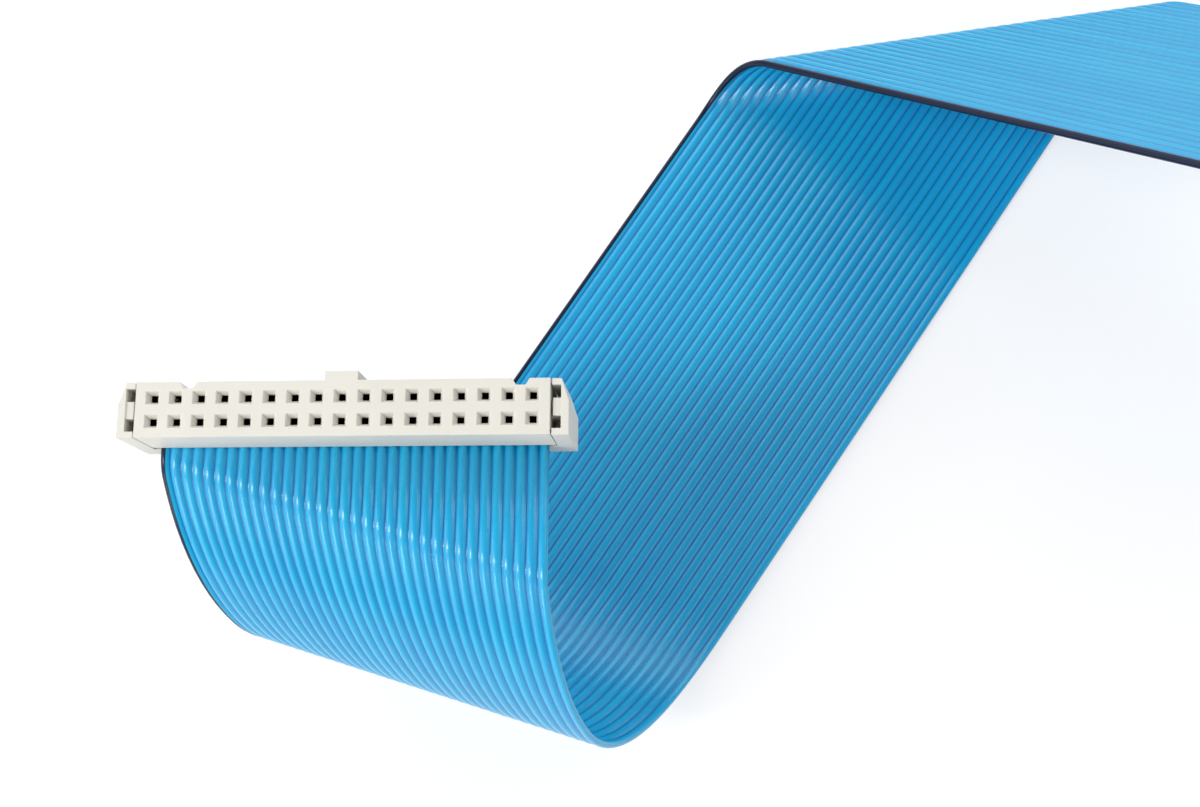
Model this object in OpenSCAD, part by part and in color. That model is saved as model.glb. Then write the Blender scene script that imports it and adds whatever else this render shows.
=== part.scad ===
// Flat ribbon cable with a moulded two-row socket pressed onto each end.
// The first socket lies face up on a loop of the ribbon, the ribbon runs back under it,
// turns over itself, arches and comes down to the second socket. Sizes are in millimetres.
// The origin is under the middle of the footprint, on the surface that the cable lies on.

/* [Ribbon] */
// contacts along each of the two rows of a socket
columns = 17; // [5:1:25]
// distance between the middles of two neighbouring wires
wire_pitch = 1.27; // [1:0.01:1.5]
// thickness of the ribbon over one insulated wire
wire_diameter = 0.9; // [0.7:0.05:1.1]
// thickness of the web that bonds two wires
web_thickness = 0.36; // [0.2:0.02:0.6]

/* [First loop] */
// angle of the folds under the first socket, from square across the ribbon
loop_skew = 17; // [0:0.5:25]
// clear ribbon between the first socket and the nearest edge of its bend
exit_clear = 0.3; // [0.1:0.1:2]
// radius of the bend at the edge of the first socket
exit_radius = 4; // [3:0.5:8]
// turn of the bend at the edge of the first socket
exit_turn = 36; // [20:1:60]
// radius of the slack curve in which the ribbon drops from there to the loop
drop_radius = 34; // [20:0.5:80]
// turn of that slack curve
drop_turn = 38; // [5:1:60]
// radius of the loop that brings the ribbon back under the socket
loop_radius = 19.8; // [14:0.1:26]

/* [Return and arch] */
// straight ribbon on the surface, along its middle
return_run = 80; // [60:1:110]
// angle of the folds of the arch, from square across the ribbon
arch_skew = 41; // [30:0.5:45]
// radius of the turn where the ribbon leaves the surface
turn_radius = 5; // [3:0.1:10]
// how far it turns over there
turn_angle = 134.5; // [110:0.5:150]
// straight ribbon going up to the top of the arch
rising_run = 68; // [40:1:90]
// radius of the top of the arch
crest_radius = 16; // [10:0.5:24]
// slope of the ribbon coming down from the arch
descent = 60; // [35:1:75]
// radius of the bend that levels the ribbon before the second socket
landing_radius = 9; // [5:0.5:16]
// clear ribbon between that bend's nearest edge and the second socket
landing_clear = 5.1; // [0.3:0.05:60]

/* [Socket body] */
// width of a socket across its two rows
base_width = 6; // [5.6:0.1:7]
// depth of a socket body from its mating face to the ribbon
base_depth = 6.1; // [5.5:0.1:8]
// body beyond the middle of the last contact
end_margin = 1.85; // [1.5:0.05:2.5]
// mouth of a lead-in at the mating face
funnel_mouth = 1.45; // [1.2:0.05:1.8]
// depth of a lead-in
funnel_depth = 0.75; // [0.3:0.05:0.9]
// side of the square pin hole
pin_hole = 0.74; // [0.7:0.02:0.9]
// depth at which the pin hole opens into its chamber
chamber_start = 1; // [0.8:0.1:1.5]
// width of the polarising key
key_width = 3.6; // [3:0.1:5]
// how far the key stands off the body
key_height = 1; // [0.6:0.1:1.5]
// width of a notch in the edge of the body
notch_width = 2; // [0.8:0.1:2.4]
// depth of that notch
notch_depth = 0.7; // [0.2:0.05:0.8]
// column gap from the marked end that holds the first notch
notch_first = 2; // [1:1:8]
// column gap from the other end that holds the second notch
notch_last = 1; // [1:1:8]

/* [Socket cover] */
// thickness of the cover under the ribbon
cover_thickness = 3; // [2.4:0.1:4]
// size of an end arm along the socket
arm_length = 1.95; // [1.6:0.05:2.6]
// outer wall of an end arm
arm_wall = 0.85; // [0.6:0.05:1.2]
// side cheeks of an end arm
arm_cheek = 0.7; // [0.5:0.05:1]
// how far the sloped outer corner of an arm cuts in along the socket
arm_slope_in = 0.8; // [0.3:0.05:1]
// how far that slope runs across the socket
arm_slope_run = 2.4; // [1:0.1:3]
// how far the arm tops lie below the mating face
arm_setback = 0.2; // [0:0.05:1]
// width of the catch and of the hook over it
catch_width = 1.9; // [1.4:0.1:2.6]
// height of the catch on the body
catch_height = 2.6; // [1.5:0.1:3.5]
// height of the hook on the arm
hook_height = 1.3; // [0.8:0.1:2]
// how far the hook lies below the top of its arm
hook_setback = 0.2; // [0:0.05:0.6]

/* [Contacts] */
// thickness of the contact sheet
sheet = 0.3; // [0.2:0.02:0.4]
// width of one spring beam
beam_width = 0.28; // [0.2:0.02:0.36]
// gap between the two spring beams
beam_gap = 0.58; // [0.5:0.02:0.64]
// height of the plate that carries the beams and the fork
plate_height = 1.4; // [1:0.1:2]
// gap between the plate and the ribbon
plate_lift = 0.3; // [0.1:0.05:0.6]
// width of one of the two tines that straddle a wire's core
tine_width = 0.28; // [0.2:0.02:0.34]
// gap between the two tines
tine_gap = 0.32; // [0.26:0.02:0.38]
// how far the tines reach past the ribbon into the cover
tine_reach = 0.9; // [0.5:0.1:1.5]
// length of the point of a tine
tine_point = 0.3; // [0.1:0.05:0.5]

/* [Fits] */
// clearance around moving air: chambers, pockets and cover ends
free_fit = 0.12; // [0.05:0.01:0.2]

/* [Hidden] */

contact_pitch = 2 * wire_pitch;
wires = 2 * columns;
ribbon_width = wires * wire_pitch;
half_width = ribbon_width / 2;
crest = wire_diameter / 2;
valley = web_thickness / 2;
half_base = base_width / 2;
half_length = (columns - 1) * contact_pitch / 2 + end_margin;
overall_half = half_length + arm_length;
cover_top = -base_depth - wire_diameter;
cover_bottom = cover_top - cover_thickness;
tine_tip = cover_top - tine_reach;
steps_per_turn = 22;

// How far joined shapes sink into each other, and how far a cut runs past the face it opens
join = 0.3;
past_face = 0.1;

// Route: each bend is [station on the middle line, skew, radius, turn, side]
exit_station = half_base + exit_clear + half_width * tan(loop_skew);
drop_station = exit_station + arc_run(exit_radius, exit_turn, loop_skew);
loop_station = drop_station + arc_run(drop_radius, drop_turn, loop_skew);
loop_turn = 180 - exit_turn - drop_turn;
turn_station = loop_station + arc_run(loop_radius, loop_turn, loop_skew) + return_run;
crest_station = turn_station + arc_run(turn_radius, turn_angle, arch_skew) + rising_run;
crest_turn = 180 - turn_angle + descent;
rise_at_turn = turn_radius * (1 - cos(turn_angle)) + rising_run * cos(arch_skew) * sin(turn_angle);
rise_at_crest = crest_radius * (cos(turn_angle) + cos(descent));
drop_at_landing = landing_radius * (1 - cos(descent));
descent_drop = rise_at_turn + rise_at_crest - drop_at_landing - cover_thickness;
descent_run = descent_drop / (cos(arch_skew) * sin(descent));
landing_station = crest_station + arc_run(crest_radius, crest_turn, arch_skew) + descent_run;
bends = [
    [exit_station, -loop_skew, exit_radius, exit_turn, -1],
    [drop_station, -loop_skew, drop_radius, drop_turn, -1],
    [loop_station, -loop_skew, loop_radius, loop_turn, -1],
    [turn_station, -arch_skew, turn_radius, turn_angle, -1],
    [crest_station, -arch_skew, crest_radius, crest_turn, -1],
    [landing_station, -arch_skew, landing_radius, descent, 1]];
near_end = -half_base;
landed = landing_station + arc_run(landing_radius, descent, arch_skew) + half_width * tan(arch_skew);
far_station = landed + landing_clear + half_base;
far_end = far_station + half_base;

function arc_run(radius, turn, skew) = radius * turn * PI / 180 / cos(skew);

// One bend carries a point [along, across, off the ribbon's middle]; flat is where it was before any bend
function bent(p, flat, b) =
    let (reach = (flat[0] - b[0]) * cos(b[1]) + flat[1] * sin(b[1]))
    reach <= 0 ? p :
    let (
        ahead = (p[0] - b[0]) * cos(b[1]) + p[1] * sin(b[1]),
        aside = p[1] * cos(b[1]) - (p[0] - b[0]) * sin(b[1]),
        turn = min(reach / b[2] * 180 / PI, b[3]),
        past = ahead - b[2] * turn * PI / 180,
        arm = b[2] - b[4] * p[2],
        on = sin(turn) * arm + past * cos(turn),
        off = b[4] * (b[2] - arm * cos(turn) + past * sin(turn)))
    [b[0] + on * cos(b[1]) - aside * sin(b[1]), on * sin(b[1]) + aside * cos(b[1]), off];
function folded(p, flat, k) = k < 0 ? p : folded(bent(p, flat, bends[k]), flat, k - 1);

// Ribbon coordinates to the first socket's own axes, whose origin is in its mating face
function laid(along, across, off) =
    let (q = folded([along, across, off], [along, across], len(bends) - 1))
    [q[1], -q[0], q[2] - base_depth - crest];

// Rings lie along the folds' own lines: [station on the middle line, skew]
// A bend that follows straight on shares its first ring with the bend before it
function bend_end(b) = b[0] + arc_run(b[2], b[3], b[1]);
function follows_on(k) = k > 0 && abs(bends[k][0] - bend_end(bends[k - 1])) < 0.001;
function bend_rings(k) =
    let (b = bends[k], n = max(2, ceil(b[3] / 360 * steps_per_turn)))
    [for (i = [(follows_on(k) ? 1 : 0) : n]) [b[0] + arc_run(b[2], b[3] * i / n, b[1]), b[1]]];
rings = concat([[near_end, 0]], [for (k = [0 : len(bends) - 1]) each bend_rings(k)], [[far_end, 0]]);

// Ridged section of wires first to last: upper side left to right, then lower side back
function upper_side(first, last) = concat(
    [for (k = [first : last]) each [
        [k * wire_pitch - half_width, valley],
        [(k + 0.5) * wire_pitch - half_width, crest]]],
    [[(last + 1) * wire_pitch - half_width, valley]]);
function closed_section(top) = concat(top, [for (i = [len(top) - 1 : -1 : 0]) [top[i][0], -top[i][1]]]);

// Where the finished cable is placed
far_point = laid(far_station, 0, 0);
far_across = laid(far_station, 1, 0) - far_point;
far_along = laid(far_station + 1, 0, 0) - far_point;
far_off = laid(far_station, 0, 1) - far_point;
far_face = far_point + far_off * (base_depth + crest);
function far_corner(x, y) = far_face - far_across * x + far_along * y;
ribbon_points = [for (r = rings, p = closed_section(upper_side(0, wires - 1)))
    laid(r[0] - p[0] * tan(r[1]), p[0], p[1])];
socket_outline = [for (side = [-1, 1]) each [
    [side * overall_half, -half_base],
    [side * overall_half, half_base - arm_slope_run],
    [side * (overall_half - arm_slope_in), half_base],
    [side * key_width / 2, half_base + key_height]]];
socket_corners = [for (p = socket_outline) each [[p[0], p[1], 0], far_corner(p[0], p[1])]];
reach_points = concat(ribbon_points, socket_corners);
low = [for (i = [0 : 2]) min([for (p = reach_points) p[i]])];
high = [for (i = [0 : 2]) max([for (p = reach_points) p[i]])];
floor_level = laid(turn_station - return_run / 2, 0, crest)[2];
place = [-(low[0] + high[0]) / 2, -(low[1] + high[1]) / 2, -floor_level];

module at_near() translate(place) children();

module at_far()
    translate(place)
    multmatrix([
        [-far_across[0], far_along[0], far_off[0], far_face[0]],
        [-far_across[1], far_along[1], far_off[1], far_face[1]],
        [-far_across[2], far_along[2], far_off[2], far_face[2]],
        [0, 0, 0, 1]])
    children();

// Wires first to last as one length of ribbon. The two edges are split along the same
// diagonals, so that neighbouring lengths meet with no gap.
module swept(first, last) {
    top = upper_side(first, last);
    side = len(top);
    count = 2 * side;
    section = closed_section(top);
    points = [for (r = rings, p = section) place + laid(r[0] - p[0] * tan(r[1]), p[0], p[1])];
    last_ring = (len(rings) - 1) * count;
    walls = [for (k = [0 : len(rings) - 2], i = [0 : count - 1])
        let (a = k * count + i, b = k * count + (i + 1) % count)
        each i == side - 1
            ? [[a, b, a + count], [b, b + count, a + count]]
            : [[a, b, b + count], [a, b + count, a + count]]];
    near_cap = [for (i = [0 : side - 2]) [i, count - 1 - i, count - 2 - i, i + 1]];
    far_cap = [for (f = near_cap) [f[3] + last_ring, f[2] + last_ring, f[1] + last_ring, f[0] + last_ring]];
    polyhedron(points = points, faces = concat(walls, near_cap, far_cap), convexity = 10);
}

// Places of the contacts in a socket's own axes
function column_x(i) = (i - (columns - 1) / 2) * contact_pitch;
function fork_x(i, row) = column_x(i) - row * wire_pitch / 2;
function row_y(row) = row * contact_pitch / 2;

module tine_slots(from, to)
    for (i = [from : to], row = [-1, 1], side = [-1, 1])
        translate([fork_x(i, row) + side * (tine_gap + tine_width) / 2, row_y(row), -base_depth - crest])
            cube([tine_width, sheet, 2 * wire_diameter], center = true);

// The marked wire is pierced by one contact of each socket, the other wires by the rest
module slots_for(marked) {
    at_near() tine_slots(0, marked ? 0 : columns - 1);
    at_far() tine_slots(marked ? columns - 1 : 0, columns - 1);
}

// Extruded blue insulation of all the wires but the marked one
module ribbon_wires()
    color([0.16, 0.55, 0.80])
    difference() {
        swept(1, wires - 1);
        slots_for(false);
    }

// Dark edge wire that marks the first contact
module marked_wire()
    color([0.08, 0.10, 0.18])
    difference() {
        swept(0, 0);
        slots_for(true);
    }

// Outline across the length, extruded along the width of the socket
module across_width(width)
    translate([0, width / 2, 0]) rotate([90, 0, 0]) linear_extrude(height = width) children();

// Outline across the width, extruded along the length of the socket
module along_length(length)
    translate([-length / 2, 0, 0]) rotate([90, 0, 90]) linear_extrude(height = length) children();

// A lead-in keeps its slope up to past_face above the mating face
funnel_slope = (funnel_mouth - pin_hole) / 2 / funnel_depth;
funnel_top = funnel_mouth / 2 + past_face * funnel_slope;
function funnel_outline(middle) = [
    [middle - funnel_top, past_face],
    [middle - pin_hole / 2, -funnel_depth],
    [middle + pin_hole / 2, -funnel_depth],
    [middle + funnel_top, past_face]];

module funnels()
    intersection() {
        across_width(base_width) for (i = [0 : columns - 1]) polygon(funnel_outline(column_x(i)));
        along_length(2 * half_length) for (row = [-1, 1]) polygon(funnel_outline(row_y(row)));
    }

chamber_x = beam_gap + 2 * beam_width + 2 * free_fit;
chamber_y = sheet + 4 * free_fit;
plate_bottom = -base_depth + plate_lift;
plate_top = plate_bottom + plate_height;
beam_top = -chamber_start - 2 * free_fit;

module chambers()
    for (i = [0 : columns - 1], row = [-1, 1]) {
        translate([column_x(i) - pin_hole / 2, row_y(row) - pin_hole / 2, -chamber_start - past_face])
            cube([pin_hole, pin_hole, chamber_start + past_face - funnel_depth]);
        translate([column_x(i) - chamber_x / 2, row_y(row) - chamber_y / 2, plate_top])
            cube([chamber_x, chamber_y, -chamber_start - plate_top]);
        translate([plate_left(i, row), row_y(row) - sheet / 2, -base_depth - past_face])
            cube([plate_right(i, row) - plate_left(i, row), sheet, plate_top + base_depth + past_face]);
    }

// The plate of a contact spans from its spring beams to its fork
beams_half = beam_gap / 2 + beam_width;
fork_half = tine_gap / 2 + tine_width;
function plate_left(i, row) = min(column_x(i) - beams_half, fork_x(i, row) - fork_half);
function plate_right(i, row) = max(column_x(i) + beams_half, fork_x(i, row) + fork_half);

module edge_notch(x)
    translate([x, half_base, 0])
        linear_extrude(height = 2 * base_depth, center = true)
            polygon([
                [-notch_width / 2, past_face],
                [-notch_width / 4, -notch_depth],
                [notch_width / 4, -notch_depth],
                [notch_width / 2, past_face]]);

catch_out = arm_length - arm_wall - free_fit;
catch_top = -arm_setback - hook_setback - hook_height;

module end_catch(side)
    translate([0, catch_width / 2, 0])
    rotate([90, 0, 0])
    linear_extrude(height = catch_width)
        polygon([
            [side * (half_length - join), catch_top],
            [side * (half_length + catch_out), catch_top],
            [side * (half_length + catch_out), catch_top - catch_height / 2],
            [side * (half_length - join), catch_top - catch_height]]);

module socket_base() {
    difference() {
        union() {
            translate([-half_length, -half_base, -base_depth])
                cube([2 * half_length, base_width, base_depth]);
            translate([-key_width / 2, half_base - join, -base_depth])
                cube([key_width, key_height + join, base_depth]);
            end_catch(1);
            end_catch(-1);
        }
        funnels();
        chambers();
        edge_notch(column_x(notch_first - 0.5));
        edge_notch(column_x(columns - 0.5 - notch_last));
    }
}

// End arm in plan: a C that opens toward the body, with its far outer corner sloped off
module arm_plan(side)
    polygon([
        [side * (half_length - 2 * join), -half_base],
        [side * overall_half, -half_base],
        [side * overall_half, half_base - arm_slope_run],
        [side * (overall_half - arm_slope_in), half_base],
        [side * (half_length - 2 * join), half_base]]);

module end_arm(side)
    difference() {
        translate([0, 0, cover_bottom]) linear_extrude(height = -arm_setback - cover_bottom) arm_plan(side);
        translate([side * half_length / 2, 0, cover_top / 2])
            cube([half_length + 2 * free_fit, 2 * base_width, -cover_top], center = true);
        translate([side * (half_length + (arm_length - arm_wall) / 2), 0, cover_top / 2])
            cube([arm_length - arm_wall, base_width - 2 * arm_cheek, -cover_top], center = true);
    }

module arm_hook(side)
    translate([side * (overall_half - arm_wall), 0, catch_top + hook_height / 2])
        translate([-side * (arm_length - arm_wall - 2 * free_fit) / 2, 0, 0])
            cube([arm_length - arm_wall - 2 * free_fit, catch_width, hook_height], center = true);

// The cover's upper side has a groove for each wire
module cover_outline() {
    grooves = [for (p = upper_side(0, wires - 1)) [p[0], cover_top + crest - p[1]]];
    polygon(concat(
        [[-half_length, cover_bottom], [-half_length, cover_top]],
        [[-half_width, cover_top]],
        grooves,
        [[half_width, cover_top]],
        [[half_length, cover_top], [half_length, cover_bottom]]));
}

pocket_x = 2 * fork_half + 2 * free_fit;
pocket_y = sheet + 2 * free_fit;

module tine_pockets()
    for (i = [0 : columns - 1], row = [-1, 1])
        translate([fork_x(i, row) - pocket_x / 2, row_y(row) - pocket_y / 2, tine_tip - free_fit])
            cube([pocket_x, pocket_y, cover_top + crest - tine_tip + 2 * free_fit]);

module socket_cover()
    difference() {
        union() {
            across_width(base_width) cover_outline();
            end_arm(1);
            end_arm(-1);
            arm_hook(1);
            arm_hook(-1);
        }
        tine_pockets();
    }

// Stamped contact: two spring beams above, a plate, and a fork whose tines straddle one wire
module contact(i, row)
    translate([0, row_y(row) + sheet / 2, 0])
    rotate([90, 0, 0])
    linear_extrude(height = sheet) {
        for (side = [-1, 1]) {
            beam_left = column_x(i) + side * (beam_gap + beam_width) / 2 - beam_width / 2;
            translate([beam_left, plate_top - join]) square([beam_width, beam_top - plate_top + join]);
            tine_left = fork_x(i, row) + side * (tine_gap + tine_width) / 2 - tine_width / 2;
            polygon([
                [tine_left, plate_bottom + join],
                [tine_left, tine_tip + tine_point],
                [tine_left + tine_width / 2, tine_tip],
                [tine_left + tine_width, tine_tip + tine_point],
                [tine_left + tine_width, plate_bottom + join]]);
        }
        translate([plate_left(i, row), plate_bottom])
            square([plate_right(i, row) - plate_left(i, row), plate_height]);
    }

module contact_pair(i) {
    contact(i, -1);
    contact(i, 1);
}

module near_base() color([0.90, 0.88, 0.82]) at_near() socket_base();
module near_cover() color([0.90, 0.88, 0.82]) at_near() socket_cover();
module far_base() color([0.90, 0.88, 0.82]) at_far() socket_base();
module far_cover() color([0.90, 0.88, 0.82]) at_far() socket_cover();
module near_contacts(i) color([0.78, 0.62, 0.30]) at_near() contact_pair(i);
module far_contacts(i) color([0.78, 0.62, 0.30]) at_far() contact_pair(i);

ribbon_wires();
marked_wire();
near_base();
near_cover();
far_base();
far_cover();
for (i = [1 : columns]) {
    near_contacts(i - 1);
    far_contacts(i - 1);
}
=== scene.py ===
# A flat ribbon cable with a moulded two-row socket pressed onto each end.
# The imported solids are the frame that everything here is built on. Sizes are in metres.
import math

import bmesh
import bpy
from mathutils import Matrix, Vector


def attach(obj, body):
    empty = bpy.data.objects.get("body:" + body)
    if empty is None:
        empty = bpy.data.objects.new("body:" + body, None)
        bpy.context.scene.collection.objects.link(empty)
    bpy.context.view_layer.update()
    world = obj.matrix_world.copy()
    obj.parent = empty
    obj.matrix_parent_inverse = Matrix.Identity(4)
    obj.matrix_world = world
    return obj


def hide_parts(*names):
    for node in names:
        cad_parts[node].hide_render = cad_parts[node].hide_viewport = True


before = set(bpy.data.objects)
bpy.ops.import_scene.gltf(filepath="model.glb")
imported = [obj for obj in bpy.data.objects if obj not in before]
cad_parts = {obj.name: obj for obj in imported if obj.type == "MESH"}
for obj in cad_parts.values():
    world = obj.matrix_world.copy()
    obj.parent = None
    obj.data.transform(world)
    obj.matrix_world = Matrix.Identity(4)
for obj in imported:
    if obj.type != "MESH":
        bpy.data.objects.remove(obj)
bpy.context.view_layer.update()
scene = bpy.context.scene

# Camera
# It looks steeply down at the face of the first socket, from the side that the ribbon leaves by,
# and is rolled so that the rows of holes lie level across the picture.
MM = 0.001
near_face = Vector((-105.12, -6.02965, 51.1565)) * MM
picture_width = 1200
focal_pixels = 1600
view_azimuth = math.radians(21.91)
view_elevation = math.radians(76.89)
view_roll = math.radians(-21.95)
view_distance = 165.52 * MM
view_target = near_face + Vector((27.36, 0.18, 0)) * MM

toward_camera = Vector((
    math.sin(view_azimuth) * math.cos(view_elevation),
    -math.cos(view_azimuth) * math.cos(view_elevation),
    math.sin(view_elevation)))
level_right = Vector((math.cos(view_azimuth), math.sin(view_azimuth), 0))
level_up = toward_camera.cross(level_right)
camera_right = level_right * math.cos(view_roll) + level_up * math.sin(view_roll)
camera_up = level_up * math.cos(view_roll) - level_right * math.sin(view_roll)
camera_data = bpy.data.cameras.new("camera")
camera_data.sensor_width = 36
camera_data.lens = 36 * focal_pixels / picture_width
camera_data.clip_start = 0.005
camera_data.clip_end = 20
camera = bpy.data.objects.new("camera", camera_data)
scene.collection.objects.link(camera)
camera.matrix_world = (
    Matrix.Translation(view_target + toward_camera * view_distance)
    @ Matrix((camera_right, camera_up, toward_camera)).transposed().to_4x4())
scene.camera = camera

# Blue ribbon
# Thirty-three stranded wires side by side, in glossy blue PVC that is extruded round them as one ribbon.
# It is loosely looped under the first socket, turned over and arched by hand, and keeps that set.
COLUMNS = 17
WIRES = 2 * COLUMNS
WIRE_PITCH = 1.27 * MM
HALF_WIDTH = WIRES * WIRE_PITCH / 2
CREST = 0.45 * MM
WEB_HALF = 0.18 * MM
WEB_GAP = 0.08 * MM
RIDGE_STEPS = 6
EDGE_STEPS = 5
BEND_STEP = 3.6
HALF_BASE = 3 * MM
BASE_DEPTH = 6.1 * MM
COVER_THICKNESS = 3 * MM
LOOP_SKEW = 17
ARCH_SKEW = 41
EXIT_CLEAR = 0.3 * MM
EXIT_RADIUS = 4 * MM
EXIT_TURN = 36
DROP_RADIUS = 34 * MM
DROP_TURN = 38
LOOP_RADIUS = 19.8 * MM
RETURN_RUN = 80 * MM
TURN_RADIUS = 5 * MM
TURN_ANGLE = 134.5
RISING_RUN = 68 * MM
CREST_RADIUS = 16 * MM
DESCENT = 60
LANDING_RADIUS = 9 * MM
LANDING_CLEAR = 5.1 * MM


def cosd(angle):
    return math.cos(math.radians(angle))


def sind(angle):
    return math.sin(math.radians(angle))


def tand(angle):
    return math.tan(math.radians(angle))


def arc_run(radius, turn, skew):
    return radius * math.radians(turn) / cosd(skew)


loop_turn = 180 - EXIT_TURN - DROP_TURN
crest_turn = 180 - TURN_ANGLE + DESCENT
exit_station = HALF_BASE + EXIT_CLEAR + HALF_WIDTH * tand(LOOP_SKEW)
drop_station = exit_station + arc_run(EXIT_RADIUS, EXIT_TURN, LOOP_SKEW)
loop_station = drop_station + arc_run(DROP_RADIUS, DROP_TURN, LOOP_SKEW)
turn_station = loop_station + arc_run(LOOP_RADIUS, loop_turn, LOOP_SKEW) + RETURN_RUN
crest_station = turn_station + arc_run(TURN_RADIUS, TURN_ANGLE, ARCH_SKEW) + RISING_RUN
arch_rise = (
    TURN_RADIUS * (1 - cosd(TURN_ANGLE))
    + RISING_RUN * cosd(ARCH_SKEW) * sind(TURN_ANGLE)
    + CREST_RADIUS * (cosd(TURN_ANGLE) + cosd(DESCENT)))
descent_drop = arch_rise - LANDING_RADIUS * (1 - cosd(DESCENT)) - COVER_THICKNESS
descent_run = descent_drop / (cosd(ARCH_SKEW) * sind(DESCENT))
landing_station = crest_station + arc_run(CREST_RADIUS, crest_turn, ARCH_SKEW) + descent_run
landed = landing_station + arc_run(LANDING_RADIUS, DESCENT, ARCH_SKEW) + HALF_WIDTH * tand(ARCH_SKEW)
far_station = landed + LANDING_CLEAR + HALF_BASE
near_end = -HALF_BASE
far_end = far_station + HALF_BASE
bends = [
    (exit_station, -LOOP_SKEW, EXIT_RADIUS, EXIT_TURN, -1),
    (drop_station, -LOOP_SKEW, DROP_RADIUS, DROP_TURN, -1),
    (loop_station, -LOOP_SKEW, LOOP_RADIUS, loop_turn, -1),
    (turn_station, -ARCH_SKEW, TURN_RADIUS, TURN_ANGLE, -1),
    (crest_station, -ARCH_SKEW, CREST_RADIUS, crest_turn, -1),
    (landing_station, -ARCH_SKEW, LANDING_RADIUS, DESCENT, 1)]


def bent(point, flat, bend):
    """Carries a point (along, across, off the ribbon's middle) round one bend."""
    station, skew, radius, most, side = bend
    c, s = cosd(skew), sind(skew)
    reach = (flat[0] - station) * c + flat[1] * s
    if reach <= 0:
        return point
    ahead = (point[0] - station) * c + point[1] * s
    aside = point[1] * c - (point[0] - station) * s
    turn = min(reach / radius, math.radians(most))
    past = ahead - radius * turn
    arm = radius - side * point[2]
    on = math.sin(turn) * arm + past * math.cos(turn)
    off = side * (radius - arm * math.cos(turn) + past * math.sin(turn))
    return (station + on * c - aside * s, on * s + aside * c, off)


def laid(along, across, off):
    """Where a point of the flat ribbon lies once the ribbon has all its bends."""
    point = (along, across, off)
    for bend in reversed(bends):
        point = bent(point, (along, across), bend)
    return near_face + Vector((point[1], -point[0], point[2] - BASE_DEPTH - CREST))


def ring_places():
    """(station, skew) of each crosswise line that the ribbon's length is divided by."""
    places = [(near_end, 0)]
    for station, skew, radius, turn, side in bends:
        steps = math.ceil(turn / BEND_STEP)
        follows_on = abs(station - places[-1][0]) < 0.001 * MM
        for i in range(1 if follows_on else 0, steps + 1):
            places.append((station + arc_run(radius, turn * i / steps, skew), skew))
    places.append((far_end, 0))
    return places


def stretched(shape, point, across):
    """Extrudes one point of an outline across the ribbon."""
    new = bmesh.ops.extrude_vert_indiv(shape, verts=[point])["verts"]
    bmesh.ops.translate(shape, vec=(0, across, 0), verts=new)
    return new[0]


def swung(shape, point, across, height, angle, steps):
    """Extrudes one point of an outline round a wire."""
    made = bmesh.ops.spin(
        shape, geom=[point], cent=(0, across, height), axis=(1, 0, 0), angle=-angle, steps=steps)
    return [v for v in made["geom_last"] if isinstance(v, bmesh.types.BMVert)][0]


def wire_outline(shape, first, last):
    """Closed outline across wires first to last. The ribbon's own two edges are round."""
    ridge_half = WIRE_PITCH / 2 - WEB_GAP
    rise = CREST - WEB_HALF
    ridge_radius = (ridge_half ** 2 + rise ** 2) / (2 * rise)
    ridge_hub = CREST - ridge_radius
    sweep = math.asin(ridge_half / ridge_radius)
    quarter = math.pi / 2
    for wire in range(first, last + 1):
        middle = (wire + 0.5) * WIRE_PITCH - HALF_WIDTH
        if wire == 0:
            point = shape.verts.new((0, middle - CREST, 0))
            point = swung(shape, point, middle, 0, quarter, EDGE_STEPS)
        else:
            if wire == first:
                point = shape.verts.new((0, middle - WIRE_PITCH / 2, WEB_HALF))
            point = stretched(shape, point, WEB_GAP)
            point = swung(shape, point, middle, ridge_hub, sweep, RIDGE_STEPS // 2)
        if wire == WIRES - 1:
            point = swung(shape, point, middle, 0, quarter, EDGE_STEPS)
        else:
            point = swung(shape, point, middle, ridge_hub, sweep, RIDGE_STEPS // 2)
            point = stretched(shape, point, WEB_GAP)
    bmesh.ops.mirror(shape, geom=shape.verts[:] + shape.edges[:], axis="Z", merge_dist=1e-7)
    loose_ends = [v for v in shape.verts if len(v.link_edges) == 1]
    if loose_ends:
        shape.edges.new(loose_ends)


def ribbon_length(name, first, last):
    """Wires first to last as one mesh, drawn out flat and then laid round the bends."""
    shape = bmesh.new()
    wire_outline(shape, first, last)
    places = ring_places()
    outline = shape.edges[:]
    for v in shape.verts:
        v.co.x = places[0][0]
    bmesh.ops.triangle_fill(shape, use_beauty=True, edges=outline)
    ends = set(shape.faces)
    for station, skew in places[1:]:
        made = bmesh.ops.extrude_edge_only(shape, edges=outline)["geom"]
        outline = [e for e in made if isinstance(e, bmesh.types.BMEdge)]
        outline = [e for e in outline if len(e.link_faces) == 1]
        for v in {v for e in outline for v in e.verts}:
            v.co.x = station - v.co.y * tand(skew)
    ends |= {f for f in bmesh.ops.triangle_fill(shape, use_beauty=True, edges=outline)["geom"]
             if isinstance(f, bmesh.types.BMFace)}
    run = shape.loops.layers.uv.new("run")
    for face in shape.faces:
        face.smooth = face not in ends
        for loop in face.loops:
            loop[run].uv = loop.vert.co.xy
    for v in shape.verts:
        v.co = laid(*v.co)
    bmesh.ops.recalc_face_normals(shape, faces=shape.faces)
    return new_piece(name, shape)


def new_piece(name, shape):
    """A bmesh as an object of the scene."""
    mesh = bpy.data.meshes.new(name)
    shape.to_mesh(mesh)
    shape.free()
    piece = bpy.data.objects.new(name, mesh)
    scene.collection.objects.link(piece)
    return piece


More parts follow.
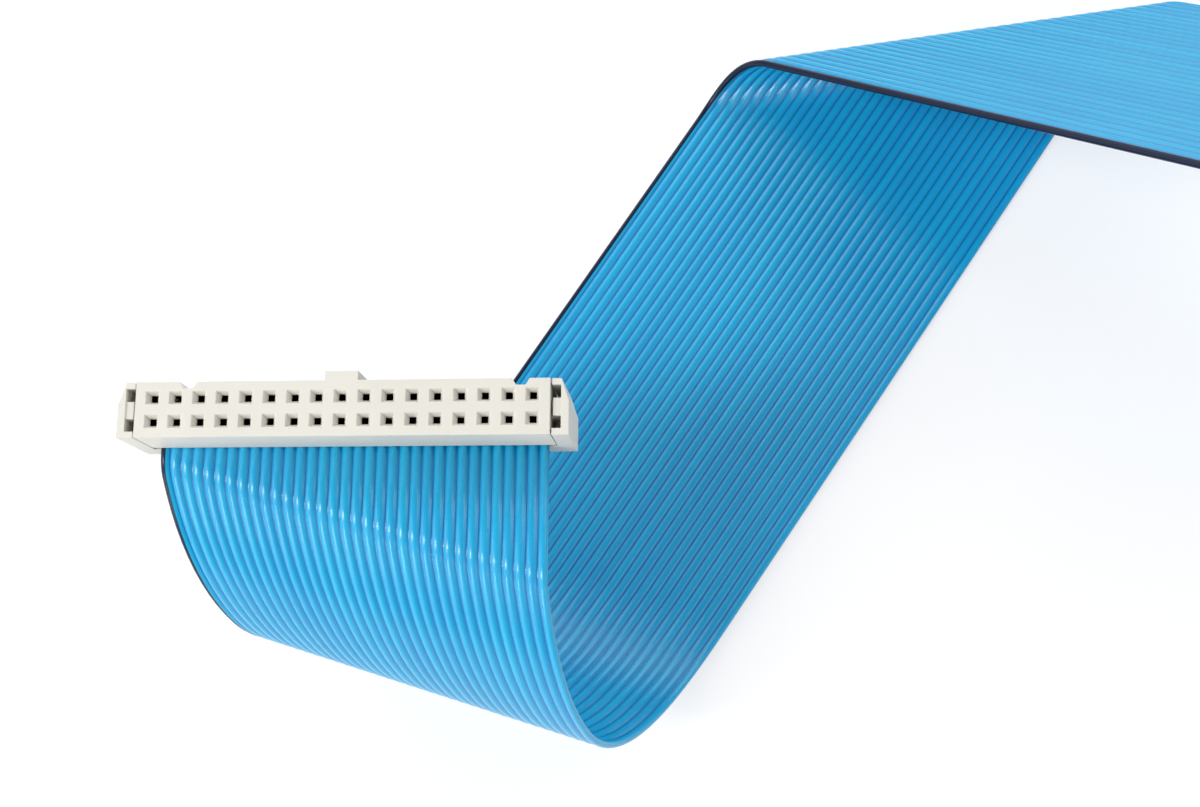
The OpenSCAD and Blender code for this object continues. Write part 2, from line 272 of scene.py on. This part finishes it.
class Socket:
    """One output in a material's node tree. Sums and products of outputs add Math nodes."""

    def __init__(self, tree, output=None):
        self.tree = tree
        self.output = output

    def node(self, kind, settings, inputs, output=0):
        made = self.tree.nodes.new(kind)
        for name, value in settings.items():
            if name == "stops":
                ramp = made.color_ramp.elements
                for i, (place, colour) in enumerate(value):
                    stop = ramp[i] if i < len(ramp) else ramp.new(place)
                    stop.position = place
                    stop.color = colour
            else:
                setattr(made, name, value)
        for name, value in inputs.items():
            if isinstance(value, Socket):
                self.tree.links.new(value.output, made.inputs[name])
            else:
                made.inputs[name].default_value = value
        return Socket(self.tree, made.outputs[output])

    def maths(self, operation, first, second=0.0):
        return self.node("ShaderNodeMath", {"operation": operation}, {0: first, 1: second})

    def __add__(self, other):
        return self.maths("ADD", self, other)

    def __radd__(self, other):
        return self.maths("ADD", other, self)

    def __sub__(self, other):
        return self.maths("SUBTRACT", self, other)

    def __rsub__(self, other):
        return self.maths("SUBTRACT", other, self)

    def __mul__(self, other):
        return self.maths("MULTIPLY", self, other)

    def __rmul__(self, other):
        return self.maths("MULTIPLY", other, self)

    def __truediv__(self, other):
        return self.maths("DIVIDE", self, other)

    def mixed(self, one, other):
        """Colour one where this value is 0 and the other where it is 1."""
        return self.node(
            "ShaderNodeMix", {"data_type": "RGBA"}, {0: self, 6: one, 7: other}, 2)

    def noise(self, place, scale, detail=2.0):
        return self.node(
            "ShaderNodeTexNoise", {}, {"Vector": place, "Scale": scale, "Detail": detail}, "Fac")

    def bumped(self, height, distance):
        return self.node(
            "ShaderNodeBump", {}, {"Height": height, "Distance": distance, "Strength": 1.0}, "Normal")


def start_material(name, constants):
    """A material whose unchanging values are set, and an empty socket to build the others from."""
    made = bpy.data.materials.new(name)
    made.use_nodes = True
    shader = made.node_tree.nodes["Principled BSDF"]
    for key, value in constants.items():
        shader.inputs[key].default_value = value
    return made, Socket(made.node_tree)


def finish_material(made, varying):
    shader = made.node_tree.nodes["Principled BSDF"]
    for key, value in varying.items():
        made.node_tree.links.new(value.output, shader.inputs[key])
    return made


blue_pale = (0.012, 0.400, 0.645, 1)
blue_deep = (0.009, 0.284, 0.568, 1)
# Painted shade: a darker blue for the bottoms of the grooves between wires, where shade falls.
blue_painted_valley_shade = (0.003, 0.122, 0.360, 1)


def insulation_material(name, index, stripe=None):
    """Extruded PVC: each wire a little different in tone, with fine lines along the run, and painted shade
    darkening the grooves between the wires.
    """
    made, start = start_material(name, {"IOR": index})
    run = start.node("ShaderNodeUVMap", {"uv_map": "run"}, {})
    across = start.node("ShaderNodeSeparateXYZ", {}, {"Vector": run}, "Y") / WIRE_PITCH
    tone = start.node(
        "ShaderNodeTexWhiteNoise", {"noise_dimensions": "1D"}, {"W": start.maths("FLOOR", across)}, "Value")
    # Painted shade: the colour darkens towards the bottom of each groove between wires, standing in for the
    # shade there.
    off_crest = start.maths("ABSOLUTE", start.maths("FRACT", across) - 0.5) * 2
    painted_groove_shade = start.maths("POWER", off_crest, 5.0)
    drawn = start.node("ShaderNodeMapping", {}, {"Vector": run, "Scale": (300, 9000, 1)})
    lines = start.noise(drawn, 1.0, 3.0)
    cloud = start.noise(run, 55.0, 2.0)
    depth = tone * 0.35 + cloud * 0.4 + lines * 0.25
    grain = start.noise(start.node("ShaderNodeTexCoord", {}, {}, "Object"), 4500.0, 2.0)
    colour = painted_groove_shade.mixed(depth.mixed(blue_pale, blue_deep), blue_painted_valley_shade)
    if stripe:
        printed = start.node("ShaderNodeMapRange", {"interpolation_type": "SMOOTHSTEP"}, {
            "Value": start.maths("FRACT", across), "From Min": STRIPE_EDGE - 0.05,
            "From Max": STRIPE_EDGE + 0.05, "To Min": 1.0, "To Max": 0.0})
        colour = printed.mixed(colour, stripe)
    return finish_material(made, {
        "Base Color": colour,
        "Roughness": 0.15 + 0.10 * cloud + 0.06 * lines,
        "Normal": start.bumped(lines * 0.6 + grain * 0.4, 0.00001)})


ribbon = ribbon_length("blue_ribbon", 1, WIRES - 1)
ribbon.data.materials.append(insulation_material("blue_pvc", 1.5))
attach(ribbon, "root")
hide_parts("ribbon_wires")

# Marked wire
# The edge wire that shows which side of the ribbon is contact one.
# It is extruded with the others, and a dark blue stripe is printed round its outer side.
STRIPE_EDGE = 0.66
stripe_ink = (0.006, 0.012, 0.034, 1)
marked = ribbon_length("marked_edge", 0, 0)
marked.data.materials.append(insulation_material("marked_pvc", 1.33, stripe_ink))
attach(marked, "root")
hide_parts("marked_wire")

# Wire ends
# Both ends of the ribbon are cut off square in line with the socket's side.
# The cut shows a round bundle of seven tinned copper strands in each wire.
STRAND_RADIUS = 0.062 * MM
STRAND_LENGTH = 0.5 * MM
STRAND_PROUD = 0.03 * MM


def strand_bundle(shape, station, wire, outward):
    """Seven strands in one wire, six of them round the seventh."""
    middle = (wire + 0.5) * WIRE_PITCH - HALF_WIDTH
    for strand in range(7):
        ring = 0 if strand == 6 else 2 * STRAND_RADIUS
        turn = strand * 60
        place = (station + outward * (STRAND_PROUD - STRAND_LENGTH / 2),
                 middle + ring * cosd(turn),
                 ring * sind(turn))
        bmesh.ops.create_cone(
            shape, cap_ends=True, segments=8, radius1=STRAND_RADIUS, radius2=STRAND_RADIUS,
            depth=STRAND_LENGTH, matrix=Matrix.Translation(place) @ Matrix.Rotation(math.pi / 2, 4, "Y"))


def cut_ends(name, station, outward):
    shape = bmesh.new()
    for wire in range(WIRES):
        strand_bundle(shape, station, wire, outward)
    for v in shape.verts:
        v.co = laid(*v.co)
    bmesh.ops.recalc_face_normals(shape, faces=shape.faces)
    return new_piece(name, shape)


tinned, start = start_material("tinned_copper", {"Metallic": 1.0})
spot = start.node("ShaderNodeTexCoord", {}, {}, "Object")
dulled = start.noise(spot, 3000.0, 2.0)
finish_material(tinned, {
    "Base Color": dulled.mixed((0.72, 0.66, 0.58, 1), (0.58, 0.42, 0.30, 1)),
    "Roughness": 0.3 + 0.2 * dulled})
near_strands = cut_ends("near_strands", near_end, -1)
far_strands = cut_ends("far_strands", far_end, 1)
for strands in (near_strands, far_strands):
    strands.data.materials.append(tinned)
    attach(strands, "root")

# Socket mouldings
# Each socket is a body with two rows of pin holes and a cover that is pressed on over the ribbon
# and snaps to the body at both ends. Both are moulded in ivory glass-filled polyester.
MOULD_ROUNDING = 0.07 * MM
MOULD_SEGMENTS = 2
SHARP_CORNER = math.radians(20)
FLAT_ENOUGH = math.radians(0.5)


def moulded(name, node):
    """The solid's own shape with its edges rounded as a mould leaves them."""
    shape = bmesh.new()
    shape.from_mesh(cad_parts[node].data)
    bmesh.ops.remove_doubles(shape, verts=shape.verts, dist=1e-6)
    bmesh.ops.dissolve_limit(
        shape, angle_limit=FLAT_ENOUGH, verts=shape.verts, edges=shape.edges)
    corners = [e for e in shape.edges if e.is_manifold and e.calc_face_angle() > SHARP_CORNER]
    bmesh.ops.bevel(
        shape, geom=corners, offset=MOULD_ROUNDING, offset_type="OFFSET", affect="EDGES",
        segments=MOULD_SEGMENTS, profile=0.5, material=-1, clamp_overlap=False)
    piece = new_piece(name, shape)
    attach(piece, "root")
    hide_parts(node)
    return piece


ivory, start = start_material("ivory_polyester", {"IOR": 1.5})
spot = start.node("ShaderNodeTexCoord", {}, {}, "Object")
flow = start.noise(spot, 140.0, 3.0)
speck = start.noise(spot, 5200.0, 2.0)
skin = start.noise(spot, 16000.0, 2.0)
finish_material(ivory, {
    "Base Color": (flow * 0.6 + speck * 0.4).mixed((0.645, 0.63, 0.565, 1), (0.58, 0.565, 0.50, 1)),
    "Roughness": 0.42 + 0.16 * speck,
    "Normal": start.bumped(speck * 0.5 + skin * 0.5, 0.00001)})
mouldings = {}
for node in ("near_base", "near_cover", "far_base", "far_cover"):
    mouldings[node] = moulded(node + "_moulding", node)
    mouldings[node].data.materials.append(ivory)

# Contacts
# One stamped contact for each wire: spring beams at the pin hole, and a fork that cuts through
# the insulation and grips the strands. They are copper alloy with a thin gold flash.
gold, start = start_material("gold_flash", {"Metallic": 1.0})
spot = start.node("ShaderNodeTexCoord", {}, {}, "Object")
rolled = start.noise(start.node("ShaderNodeMapping", {}, {"Vector": spot, "Scale": (6000, 6000, 300)}), 1.0)
finish_material(gold, {
    "Base Color": rolled.mixed((0.86, 0.66, 0.30, 1), (0.72, 0.50, 0.20, 1)),
    "Roughness": 0.22 + 0.18 * rolled})
contacts = {"near": [], "far": []}
for end, pieces in contacts.items():
    for column in range(1, COLUMNS + 1):
        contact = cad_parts[f"{end}_contacts_{column}"]
        contact.data.materials.clear()
        contact.data.materials.append(gold)
        pieces.append(contact)

# The cable as a cord: points along the ribbon's middle from end to end.
# The ribbon leaves the first socket and ends in the second.
CORD_STEPS = 400
cord_path = [laid(near_end + (far_end - near_end) * i / CORD_STEPS, 0, 0) for i in range(CORD_STEPS + 1)]
laid(HALF_BASE, 0, 0)

# Table and light
# The cable lies on a white table before a white backdrop, in soft light that is stronger from low down.
# Large lamps stand round it, and a small one high on the left throws the shadows.
table_half = 3.0
table_shape = bmesh.new()
bmesh.ops.create_grid(table_shape, x_segments=1, y_segments=1, size=table_half)
table = new_piece("table", table_shape)
white, start = start_material("white_table", {"Roughness": 0.7, "Base Color": (0.9, 0.9, 0.9, 1)})
glow = start.node("ShaderNodeEmission", {}, {"Color": (1, 1, 1, 1), "Strength": 1.04})
seen = start.node("ShaderNodeLightPath", {}, {}, "Is Camera Ray")
mirrored = start.node("ShaderNodeLightPath", {}, {}, "Is Glossy Ray")
paint = Socket(start.tree, white.node_tree.nodes["Principled BSDF"].outputs[0])
blend = start.node("ShaderNodeMixShader", {}, {
    0: start.maths("MAXIMUM", seen, mirrored) * 0.55, 1: paint, 2: glow})
white.node_tree.links.new(blend.output, white.node_tree.nodes["Material Output"].inputs["Surface"])
table.data.materials.append(white)

world = bpy.data.worlds.new("surround")
scene.world = world
world.use_nodes = True
backdrop = world.node_tree.nodes["Background"]
backdrop.inputs["Color"].default_value = (1.0, 1.0, 1.1, 1)
sky = Socket(world.node_tree)
height = sky.node(
    "ShaderNodeSeparateXYZ", {}, {"Vector": sky.node("ShaderNodeTexCoord", {}, {}, "Generated")}, "Z")
surround_light = 0.255 - 0.045 * height
backdrop_seen = sky.node("ShaderNodeLightPath", {}, {}, "Is Camera Ray")
world.node_tree.links.new(
    (surround_light + (1 - surround_light) * backdrop_seen).output, backdrop.inputs["Strength"])


def soft_light(name, place, aim, width, height, power):
    lamp = bpy.data.lights.new(name, "AREA")
    lamp.shape = "RECTANGLE"
    lamp.size = width
    lamp.size_y = height
    lamp.energy = power
    holder = bpy.data.objects.new(name, lamp)
    scene.collection.objects.link(holder)
    holder.location = place
    holder.rotation_mode = "QUATERNION"
    holder.rotation_quaternion = (Vector(aim) - Vector(place)).to_track_quat("-Z", "Y")


cable_middle = (-0.06, 0, 0.03)
soft_light("shadow_light", (-0.6, -0.15, 0.7), cable_middle, 0.2, 0.4, 3.8)
soft_light("back_light", (-0.12, 0.75, 0.45), (-0.02, 0, 0.03), 1.4, 0.6, 5.2)
soft_light("panel_light", (-0.32, -0.56, 0.58), (-0.08, -0.02, 0.03), 0.6, 1.2, 1.5)
soft_light("front_left_light", (-0.55, -0.55, 0.3), cable_middle, 0.2, 0.45, 1.9)
soft_light("left_light", (-0.8, -0.1, 0.35), cable_middle, 0.6, 0.4, 1.4)
soft_light("corner_light", (0.5, 0.45, 0.6), cable_middle, 0.5, 0.5, 1.7)
soft_light("right_light", (0.75, -0.1, 0.45), cable_middle, 0.6, 0.6, 0.9)
soft_light("loop_light", (0.35, -0.45, 0.3), cable_middle, 0.4, 0.4, 0.9)
scene.view_settings.view_transform = "Standard"
